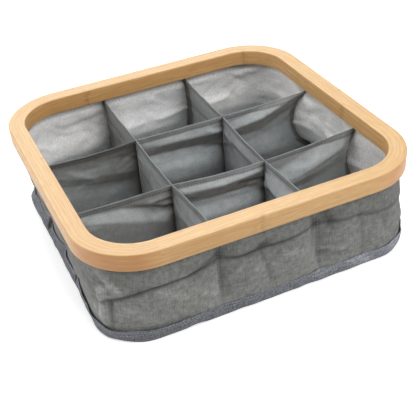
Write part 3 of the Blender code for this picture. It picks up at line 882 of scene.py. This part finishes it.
# Each divider's panels: name, axis across, side, half size, both ends, and which points are in it
def listPanels(home, onWall):
    panels = []
    for axis, at, seam, half, sides, cells in (
        (0, seamX, seamY, halfY, ("left", "right"), ("Front", "Middle", "Back")),
        (1, seamY, seamX, halfX, ("front", "back"), ("Left", "Middle", "Right")),
    ):
        along, reach = home[:, 1 - axis], half - bag["hemInset"]
        for side, sign in zip(sides, (-1, 1)):
            row = ~onWall & (np.abs(home[:, axis] - sign * at) < 0.0001)
            for cell, start, end in zip(cells, (-reach, -seam, seam), (-seam, seam, reach)):
                inside = row & (along >= start - 0.004) & (along <= end + 0.004)
                inside &= (along > start - 0.00001) | isOnWall(start)
                inside &= (along < end + 0.00001) | isOnWall(end)
                panels.append((side + cell, axis, sign, half, start, end, inside))
    return panels


# How far a panel's points stand toward the front left, in mm, how steeply they face down, and its small folds
def foldPanel(name, number, steps, high, start, end, rough):
    share = unit((steps - start) / (end - start))
    atEnds = unit(np.minimum(share, 1 - share) * 11) ** 0.8
    knots = []
    for line in dividerFolds[name][1]:
        heights, values = line[:-3] or (hemTop,), line[-3:]
        places = (0.1, 0.5, 0.9)
        height = np.interp(share, places, heights if len(heights) == 3 else heights * 3)
        knots.append((height, np.interp(share, places, values) * atEnds))
    knots += [(10, knots[-1][1] * 0.5), (0, 0 * share)]
    down = (throughKnots(high + 1.2, knots) - throughKnots(high - 1.2, knots)) / 2.4
    folds = list(puckers.get(name, ()))
    for place, heading in ((start, 1), (end, -1)):
        folds += fannedFolds(40 + number * 2 + (heading > 0), place, heading)
    folds += scattered(60 + number, 9, start + 6, end - 24, (20, 72), (12, 30), 0.35, 0.75)
    small = sum((foldAt(steps, high, fold) for fold in folds), np.zeros_like(steps))
    small = small * unit((76.5 - high) / 3) + rough * np.sin(np.pi * share) ** 0.7
    toward = throughKnots(high, knots) + small * unit(np.minimum(share, 1 - share) * 30)
    return toward, np.where(high > 79.5, 0, down), small


# Painted light and shade: creases that face down are darker, ridges that face up lighter, small folds shaded,
# and low down a little lighter
def paintPanelShade(name, axis, steps, high, end, down, small):
    tint = 1 - 1.15 * np.clip(down, 0, 0.55) + 0.22 * np.clip(-down, 0, 0.7)
    tint = (tint + 0.17 * np.clip(small, -2.5, 0.8)) * (1 + 0.08 * unit((46 - high) / 30))
    tint = tint * np.interp(high, (56, 70), paintedPanelShade.get(name, (1.0, 1.0)))
    # Painted shadow where a cross panel meets the crossing
    if axis == 1 and not isOnWall(end / 1000):
        tint = tint * (1 - 0.78 * bell(end - steps, 5.4) * unit((80 - high) / 3))
        tint = tint * (1 - 0.5 * bell(end - steps, 1.8) * unit((78 - high) / 3))
    # Painted shade at the wall ends of these panels, high up
    if name in ("leftBack", "rightBack", "rightMiddle"):
        tint = tint * (1 - 0.6 * bell(end - steps, 2.6) * np.clip((high - 50) / 20, 0.3, 1))
    return tint


def shapeDividers(home, moved, onWall, coarse, fine):
    z = home[:, 2]
    high = z * 1000
    sags, shades, thick = np.zeros_like(z), np.ones_like(z), np.where(z > bag["hemLine"], 1.0, 0.0)
    for number, (name, axis, sign, half, start, end, inside) in enumerate(listPanels(home, onWall)):
        along = home[:, 1 - axis]
        steps, ends = along * 1000, (start * 1000, end * 1000)
        toward, down, small = foldPanel(name, number, steps, high, *ends, 0.7 * coarse + 0.45 * fine)
        moved[:, axis] -= np.where(inside, toward * unit((z - dividerFoot) / 0.004) / 1000, 0)
        tint = paintPanelShade(name, axis, steps, high, ends[1], down, small)
        if name in bindingsAndShade:
            width, dark = bindingsAndShade[name]
            # The binding strip is thicker, and darkened with painted shade
            strip = ((half - bag["hemInset"] - np.abs(along)) * 1000 < width) & (high < 78)
            tint = np.where(strip, tint * dark, tint)
            thick = np.where(inside & strip, 1.0, thick)
        shades = np.where(inside, shades * tint, shades)
        share = unit((along - start) / (end - start))
        first, last = sagAt(axis, sign, start), sagAt(axis, sign, end)
        sag = first + (last - first) * share + dividerFolds[name][0] * np.sin(np.pi * share)
        sags = np.where(inside, sag, sags)
        tuckStart = pullAt(axis, sign, -1, z) if isOnWall(start) else 0 * z
        tuckEnd = pullAt(axis, sign, 1, z) if isOnWall(end) else 0 * z
        moved[:, 1 - axis] += np.where(inside, tuckStart * (1 - share) - tuckEnd * share, 0)
    moved[:, 2] -= sags / 1000 * unit((z - dividerFoot) / (dividerTop - dividerFoot)) ** 1.5
    return shades, thick


def shapeNet(home, onWall):
    moved = home.copy()
    coarse = np.array([noise.noise(Vector(point) * 17) for point in home])
    fine = np.array([noise.noise(Vector(point) * 55 + Vector((5, 3, 1))) for point in home])
    outer, inner = shapeWall(home, moved, onWall, coarse, fine)
    shades, thick = shapeDividers(home, moved, onWall, coarse, fine)
    within = np.ones_like(shades)
    shades[onWall], within[onWall] = outer, inner
    return moved, {"shade": shades, "within": within, "thick": thick}


# The cloth settles for a second or so, a little slack, and no point may move further than the cap
settle = {
    "frames": 30, "tall": 1.02, "wide": 0.004, "seamHold": 0.6, "cap": 0.008,
    "rules": {
        "quality": 6, "mass": 0.0001, "air_damping": 2.0, "bending_model": "ANGULAR",
        "tension_stiffness": 15.0, "compression_stiffness": 15.0, "shear_stiffness": 5.0,
        "tension_damping": 3.0, "compression_damping": 3.0, "shear_damping": 3.0,
        "bending_stiffness": 0.3, "vertex_group_mass": "held",
    },
}


def runCloth(net, home, onWall, shaped):
    net.data.vertices.foreach_set("co", shaped.ravel())
    net.shape_key_add(name="shaped", from_mix=False)
    slack = net.shape_key_add(name="slack", from_mix=False)
    share = unit((home[:, 2] - tapeTop) / (rimLow - tapeTop))
    loose = shaped.copy()
    loose[:, 2] = tapeTop + (loose[:, 2] - tapeTop) * settle["tall"]
    loose[:, :2] *= (1 + settle["wide"] * np.sin(np.pi * share))[:, None]
    slack.data.foreach_set("co", loose.ravel())
    held = net.vertex_groups.new(name="held")
    x, y, z = home.T
    firm = (z > rimLow + 0.0001) | (onWall & (z < tapeTop)) | (z < dividerFoot + 0.004)
    seams = onWall & ((np.abs(np.abs(x) - seamX) < 0.0001) | (np.abs(np.abs(y) - seamY) < 0.0001))
    for chosen, hold in ((seams, settle["seamHold"]), (firm | (seams & (z > dividerTop - 0.0015)), 1.0)):
        for index in np.nonzero(chosen)[0]:
            held.add([int(index)], hold, "REPLACE")
    cloth = net.modifiers.new("cloth", "CLOTH")
    for key, value in settle["rules"].items():
        setattr(cloth.settings, key, value)
    cloth.settings.rest_shape_key = slack
    cloth.collision_settings.use_collision = False
    cloth.collision_settings.use_self_collision = False
    cloth.point_cache.frame_start = 1
    cloth.point_cache.frame_end = settle["frames"]
    for frameNumber in range(1, settle["frames"] + 1):
        bpy.context.scene.frame_set(frameNumber)
    graph = bpy.context.evaluated_depsgraph_get()
    settled = np.array([vert.co for vert in net.evaluated_get(graph).data.vertices])
    net.modifiers.clear()
    net.shape_key_clear()
    return settled


def settleNet():
    net, onWall = makeNet()
    home = np.array([vert.co for vert in net.data.vertices])
    shaped, marks = shapeNet(home, onWall)
    done = shaped
    move = runCloth(net, home, onWall, shaped) - shaped
    size = np.linalg.norm(move, axis=1, keepdims=True)
    print("cloth settled, largest move", round(float(size.max()) * 1000, 2), "mm")
    done = shaped + move * np.minimum(1, settle["cap"] / np.maximum(size, 0.000001))
    net.data.vertices.foreach_set("co", done.ravel())
    for name, values in marks.items():
        net.data.attributes.new(name, "FLOAT", "POINT").data.foreach_set("value", values)
    net.data.update()
    return net, home


# Takes the faces that a test picks out of the net, as a bmesh of their own
def takeFaces(net, wanted):
    bm = bmesh.new()
    bm.from_mesh(net.data)
    tag = bm.faces.layers.int["part"]
    bm.verts.index_update()
    gone = [face for face in bm.faces if not wanted(face[tag], [vert.index for vert in face.verts])]
    bmesh.ops.delete(bm, geom=gone, context="FACES")
    return bm


def smoothOnce(piece, levels=1):
    smooth = piece.modifiers.new("smooth", "SUBSURF")
    smooth.levels = smooth.render_levels = levels
    applyModifiers(piece)


def thicken(piece, thickness, levels, group="", thin=1.0, innerMaterial=0):
    solid = piece.modifiers.new("thickness", "SOLIDIFY")
    solid.thickness = thickness
    solid.offset = 0.0
    solid.material_offset = innerMaterial
    if group:
        solid.vertex_group = group
        solid.thickness_vertex_group = thin
    smoothOnce(piece, levels)


def foldsWithWall(piece):
    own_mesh(piece)


def foldsWithDividers(piece):
    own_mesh(piece)


# Stitches: small threads laid where a ray meets the cloth
stitch = {
    "pitch": 0.0031, "length": 0.0021, "radius": 0.00027, "sunk": 0.0001, "hem": 0.0769, "seamFrom": 0.0145,
    "tapeRows": (0.0112, 0.0086), "rayLength": 0.03,
}


def oneStitch():
    bm = bmesh.new()
    bmesh.ops.create_uvsphere(bm, u_segments=6, v_segments=4, radius=1)
    return meshFrom(bm, "oneStitch")


def layStitches(bm, surface, starts, aim):
    thread = oneStitch()
    hits = []
    for start in starts:
        place, normal, index, distance = surface.ray_cast(Vector(start), aim(start), stitch["rayLength"])
        hits.append((place, normal) if place else None)
    for before, this, after in zip(hits, hits[1:], hits[2:]):
        if not (before and this and after):
            continue
        along = (after[0] - before[0]).normalized()
        if (after[0] - before[0]).length > 3 * stitch["pitch"]:
            continue
        up = this[1] if this[1].dot(aim(this[0])) < 0 else -this[1]
        side = along.cross(up).normalized()
        turned = Matrix((along, side, up)).transposed().to_4x4()
        size = Matrix.Diagonal((stitch["length"] / 2, stitch["radius"], stitch["radius"], 1))
        whole = Matrix.Translation(this[0] - up * stitch["sunk"]) @ turned @ size
        thread.transform(whole)
        bm.from_mesh(thread)
        thread.transform(whole.inverted())
    bpy.data.meshes.remove(thread)


def surfaceOf(piece):
    bm = bmesh.new()
    bm.from_mesh(piece.data)
    tree = BVHTree.FromBMesh(bm)
    bm.free()
    return tree


# The hem's seam follows the divider's sag, so it is measured from the top edge, found by halving
def hemHeight(surface, x, y, heading):
    high, low = dividerTop + 0.004, dividerTop - 0.014
    for step in range(11):
        middle = (high + low) / 2
        if surface.ray_cast(Vector((x, y, middle)), heading, stitch["rayLength"])[0]:
            low = middle
        else:
            high = middle
    return low - (dividerTop - stitch["hem"]) if low > dividerTop - 0.013 else None


def sewDivider(cloth, node, axis, start, end):
    surface = surfaceOf(cloth)
    at = (cloth.bound_box[0][axis] + cloth.bound_box[6][axis]) / 2
    bm = bmesh.new()
    places = np.arange(start + 0.002, end - 0.002, stitch["pitch"])
    for way in (-1, 1):
        heading = Vector((-way, 0, 0)) if axis == 0 else Vector((0, -way, 0))
        first = at + way * 0.018
        lift = 0.0 if way < 0 else stitch["pitch"] / 2
        plan = [(first, place + lift) if axis == 0 else (place + lift, first) for place in places]
        starts = [(x, y, hemHeight(surface, x, y, heading)) for x, y in plan]
        layStitches(bm, surface, [point for point in starts if point[2]], lambda point: heading)
    threads = newPiece(f"{node}_stitches", bm, [sewingThread], "bag")
    foldsWithDividers(threads)


def sewWall(wall):
    surface = surfaceOf(wall)
    bm = bmesh.new()
    heights = np.arange(stitch["seamFrom"], rimLow - 0.003, stitch["pitch"])
    for side in (-1, 1):
        for place in (-seamX, seamX):
            starts = [(place, side * (halfY + 0.01), z) for z in heights]
            layStitches(bm, surface, starts, lambda point: Vector((0, -side, 0)))
        for place in (-seamY, seamY):
            starts = [(side * (halfX + 0.01), place, z) for z in heights]
            layStitches(bm, surface, starts, lambda point: Vector((-side, 0, 0)))
    threads = newPiece("bag_wall_stitches", bm, [sewingThread], "bag")
    foldsWithWall(threads)


# Each divider's node, part of the net, axis across, start and end, and length
def listDividers():
    length, side = (halfY - bag["hemInset"]) * 2, halfX - bag["hemInset"] - seamX
    long = ("left", 1), ("right", 2)
    dividers = [(f"divider_{name}", part, 0, -halfY, halfY, length) for name, part in long]
    for part, row in ((3, "back"), (4, "front")):
        dividers += [
            (f"cross_divider_{row}_left", part, 1, -halfX, -seamX, side),
            (f"cross_divider_{row}_middle", part, 1, -seamX, seamX, 2 * seamX),
            (f"cross_divider_{row}_right", part, 1, seamX, halfX, side),
        ]
    return dividers


def makeBag():
    net, home = settleNet()
    bm = takeFaces(net, lambda part, verts: part == 0)
    bmesh.ops.recalc_face_normals(bm, faces=bm.faces)
    wall = newPiece("bag_wall", bm, [wallCloth, innerCloth], "bag", ["side_wall"])
    thicken(wall, 0.0009, 1, innerMaterial=1)
    foldsWithWall(wall)
    for node, number, axis, low, high, length in listDividers():
        def inside(part, verts):
            middle = sum(home[index][1 - axis] for index in verts) / len(verts)
            return part == number and low < middle < high
        cloth = makeDividerPiece(node, takeFaces(net, inside), 1 - axis)
        sewDivider(cloth, node, axis, low, high)
    sewWall(wall)
    bpy.data.objects.remove(net)


def makeDividerPiece(node, bm, along):
    # The ends stop short of what they are sewn to
    places = [vert.co[along] for vert in bm.verts]
    middle = (min(places) + max(places)) / 2
    for vert in bm.verts:
        if vert.is_boundary and len(vert.link_faces) <= 2:
            sideways = [edge for edge in vert.link_edges if edge.is_boundary]
            if all(abs(edge.other_vert(vert).co.z - vert.co.z) > 0.0003 for edge in sideways):
                vert.co[along] -= math.copysign(0.0008, vert.co[along] - middle)
    layer = bm.verts.layers.deform.verify()
    thick = bm.verts.layers.float["thick"]
    for vert in bm.verts:
        vert[layer][0] = vert[thick]
    piece = newPiece(f"{node}_cloth", bm, [dividerCloth], "bag", [node])
    piece.vertex_groups.new(name="hem")
    thicken(piece, 0.0013, 1, "hem", 0.5)
    foldsWithDividers(piece)
    return piece


makeBag()
print("bag made")

# Binding tape, floor and bottom
tape = {
    "corner": 0.053, "inset": 0.0036, "thickness": 0.0009, "height": 0.0128, "inner": 0.0075, "steps": 84,
    "cornerSteps": 30, "rise": 0.0019, "swell": 0.0015, "lift": 0.0014, "gape": 0.0017, "paintedLight": 0.8,
    "boardGap": 0.0019, "outside": 0.008,
}


# From the outer foot under the bag, up inside, and back down the outside
def tapeSection():
    outside, inside, thick, top = tape["inset"], tape["inner"], tape["thickness"], tape["height"] - 0.0005
    leg = outside + thick
    under = [(outside, 0.0008), (outside + 0.0008, 0.0), (inside - 0.0008, 0.0), (inside, 0.0008)]
    within = [(inside, floorTop), (inside - thick, floorTop), (inside - thick, thick + 0.0004)]
    back = [(leg + 0.0004, thick), (leg, thick + 0.0006), (leg, 0.004), (leg, 0.008), (leg, top)]
    rounded = [(outside + thick * 0.5, tape["height"]), (outside, top)]
    bulge = ((0.0007, 0.0110), (0.0001, 0.0090), (0.0010, 0.0060), (0.0005, 0.0026))
    return under + within + back + rounded + [(outside - out, height) for out, height in bulge]


def outwardAt(x, y, corner):
    runX, runY = halfX - corner, halfY - corner
    return Vector((x - max(min(x, runX), -runX), y - max(min(y, runY), -runY), 0)).normalized()


def wavyAt(x, y, z, scale):
    return noise.noise(Vector((x, y, z)) * scale)


def makeTape():
    corner = tape["corner"]
    stations = [np.linspace(corner - half, half - corner, tape["steps"]) for half in (halfX, halfY)]
    bm = sweepRound(tapeSection(), corner, *stations, tape["cornerSteps"])
    mapRun(bm, corner, useHeight=True)
    for vert in bm.verts:
        x, y, z = vert.co
        drawn = drawnIn(runFromFront(x, y), z * 1000) / 1000
        if placeRound(x, y, corner)[1] > tape["inset"] + tape["thickness"] * 2:
            vert.co -= outwardAt(x, y, corner) * max(drawn - tape["boardGap"], 0)
            continue
        level = min(z / tape["height"], 1)
        rise = wavyAt(x, y, 0, 34) * tape["rise"] * level
        lift = max(wavyAt(x, y, 3, 45), 0) * 2 * tape["lift"] * (1 - level)
        swell = noise.noise(vert.co * 70 + Vector((0, 0, 4))) * tape["swell"] * (1.6 if x > 0 else 1.0)
        gape = max(wavyAt(x, y, 8, 22) + 0.15, 0) * tape["gape"] * level ** 2
        vert.co += outwardAt(x, y, corner) * (swell * min(z / 0.003, 1) + gape - drawn)
        vert.co.z += rise + lift
    piece = newPiece("binding_tape_cloth", bm, [tapeCloth], "bag", ["binding_tape"])
    # Painted light and sheen: paler in patches toward the right
    paintedLight = piece.data.attributes.new("shade", "FLOAT", "POINT")
    for vert, value in zip(piece.data.vertices, paintedLight.data):
        patch = max(noise.noise(vert.co * 45 + Vector((9, 0, 0))) + 0.45, 0)
        value.value = 1 + tape["paintedLight"] * patch * min(max((vert.co.x + 0.01) / 0.1, 0), 1)
    smoothOnce(piece)
    surface, around = surfaceOf(piece), lengthRound(corner)
    threads = bmesh.new()
    for row, height in enumerate(stitch["tapeRows"]):
        starts = []
        for number in range(round(around / stitch["pitch"]) + 3):
            along = (number + row / 2) * stitch["pitch"]
            x, y = pointRound(along % around, corner)
            starts.append((x, y, height + 0.0003 * math.sin(along * 90)))
        layStitches(threads, surface, starts, lambda point: -outwardAt(point[0], point[1], corner))
    newPiece("binding_tape_stitches", threads, [sewingThread], "bag")


# The point a little outside the plan's edge at a distance along it, which is what placeRound undoes
def pointRound(along, corner):
    runX, runY, arc = halfX - corner, halfY - corner, corner * math.pi / 2
    outside = corner + tape["outside"]
    for side in range(4):
        across, depth = (runY, runX) if side % 2 else (runX, runY)
        turn = Matrix.Rotation(math.pi / 2 * side, 2)
        if along <= 2 * across:
            return turn @ Vector((along - across, -depth - outside))
        if along <= 2 * across + arc:
            angle = (along - 2 * across) / corner
            spoke = Vector((math.sin(angle), -math.cos(angle))) * outside
            return turn @ (Vector((across, -depth)) + spoke)
        along -= 2 * across + arc
    return Vector((-runX, -runY - outside))


# A flat panel of the bag's floor, its corners rounded from a grid, puffed a little in the middle of each cell
def makePanel(node, cloth, puff, base):
    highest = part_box(node)[1]
    corner = tape["corner"] - (halfX - highest.x)
    bm = bmesh.new()
    bmesh.ops.create_grid(bm, x_segments=72, y_segments=70, size=0.5)
    for vert in bm.verts:
        x, y = vert.co.x * 2 * highest.x, vert.co.y * 2 * highest.y
        beyond = Vector((max(abs(x) - highest.x + corner, 0), max(abs(y) - highest.y + corner, 0)))
        if min(beyond) > 0:
            beyond = beyond.normalized() * max(beyond)
            x = math.copysign(highest.x - corner + beyond.x, x)
            y = math.copysign(highest.y - corner + beyond.y, y)
        cell = abs(math.sin((x / seamX + 1) * math.pi / 2) * math.sin((y / seamY + 1) * math.pi / 2))
        wave = wavyAt(x, y, base, 40) + 0.5 * wavyAt(x, y, base, 110)
        edge = min(1.0, (highest.x - abs(x)) / 0.01, (highest.y - abs(y)) / 0.01)
        vert.co = (x, y, base + puff * (0.5 + wave) * cell * max(edge, 0))
        if x < 0.008 - highest.x:
            vert.co.x += max(drawnIn(runFromFront(x, y), base * 1000) / 1000 - tape["boardGap"], 0)
    layer = bm.loops.layers.uv.new("run")
    for face in bm.faces:
        for loop in face.loops:
            loop[layer].uv = loop.vert.co.xy
    piece = newPiece(f"{node}_cloth", bm, [cloth], "bag", [node])
    thicken(piece, 0.0007, 0)


def makeFoot():
    makeTape()
    makePanel("floor_lining", liningCloth, 0.0006, 0.0038)
    makePanel("bottom_panel", panelCloth, 0.0, 0.0004)
    for node, material in (("base_board", boardFibre), ("hem_strip", stripPlastic)):
        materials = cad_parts[node].data.materials
        materials.clear()
        materials.append(material)


makeFoot()
print("foot made")


# Floor, lights and camera. Each lamp has its place, size in metres and power in watts.
studio = {
    "floor": (240, 240, 240), "bounce": (175, 175, 175), "world": 0.03, "glow": (0.5, 1.6, 0.44, 1.0),
    "lamps": {
        "overhead": ((0.0, 0.1, 1.5), 1.3, 11.5),
        "highFront": ((0.4, -1.2, 1.4), 1.0, 15.6),
        "leftBox": ((-1.4, 0.2, 0.6), 1.0, 14.0),
        "rightFrontBox": ((1.0, -1.1, 0.6), 1.0, 9.0),
        "backHigh": ((0.3, 1.4, 1.2), 1.4, 20.0),
    },
    "lampAim": (0, 0, 0.05), "aim": (-0.02028, -0.06130, 0.05), "distance": 0.80188,
    "azimuth": 22.275, "elevation": 35.341, "roll": -4.653, "focalLength": 71.61,
}


# The paper is white to the camera and in reflections, and grey to the light that it sends back
def makeFloor():
    bm = bmesh.new()
    bmesh.ops.create_grid(bm, x_segments=1, y_segments=1, size=4)
    floor = addToScene("floor", meshFrom(bm, "floor"))
    material, tree, shader = newMaterial("floorPaper", 0.9)
    rays = put(tree, "ShaderNodeLightPath").outputs
    seen = calc(tree, "MAXIMUM", rays["Is Camera Ray"], rays["Is Glossy Ray"])
    tree.links.new(blendColour(tree, seen, studio["bounce"], studio["floor"]), shader.inputs["Base Color"])
    out = put(tree, "ShaderNodeVectorMath", {0: objectVector(tree)}, operation="LENGTH").outputs["Value"]
    tree.links.new(times(tree, seen, spread(tree, out, *studio["glow"])), shader.inputs["Emission Strength"])
    shader.inputs["Emission Color"].default_value = (1, 1, 1, 1)
    floor.data.materials.append(material)


def makeLamp(name, place, size, energy):
    lamp = bpy.data.lights.new(name, "AREA")
    lamp.energy = energy
    lamp.size = size
    holder = addToScene(name, lamp)
    holder.location = place
    holder.rotation_euler = (Vector(studio["lampAim"]) - Vector(place)).to_track_quat("-Z", "Y").to_euler()


def makeStudio():
    scene = bpy.context.scene
    world = bpy.data.worlds.new("studio")
    world.use_nodes = True
    tree = world.node_tree
    sky = tree.nodes["Background"]
    sky.inputs["Color"].default_value = (1, 1, 1, 1)
    seen = put(tree, "ShaderNodeLightPath").outputs["Is Camera Ray"]
    tree.links.new(spread(tree, seen, 0.0, 1.0, studio["world"], 1.0), sky.inputs["Strength"])
    scene.world = world
    for name, settings in studio["lamps"].items():
        makeLamp(name, *settings)
    camera = addToScene("camera", bpy.data.cameras.new("camera"))
    pan = Matrix.Rotation(-math.radians(studio["azimuth"]), 4, "Z")
    tilt = Matrix.Rotation(math.pi / 2 - math.radians(studio["elevation"]), 4, "X")
    roll = Matrix.Rotation(math.radians(studio["roll"]), 4, "Z")
    back = Matrix.Translation((0, 0, studio["distance"]))
    camera.matrix_world = Matrix.Translation(studio["aim"]) @ (pan @ tilt @ roll) @ back
    camera.data.lens = studio["focalLength"]
    camera.data.clip_start = 0.01
    scene.camera = camera
    scene.view_settings.view_transform = "Standard"


makeFloor()
makeStudio()
print("studio made")
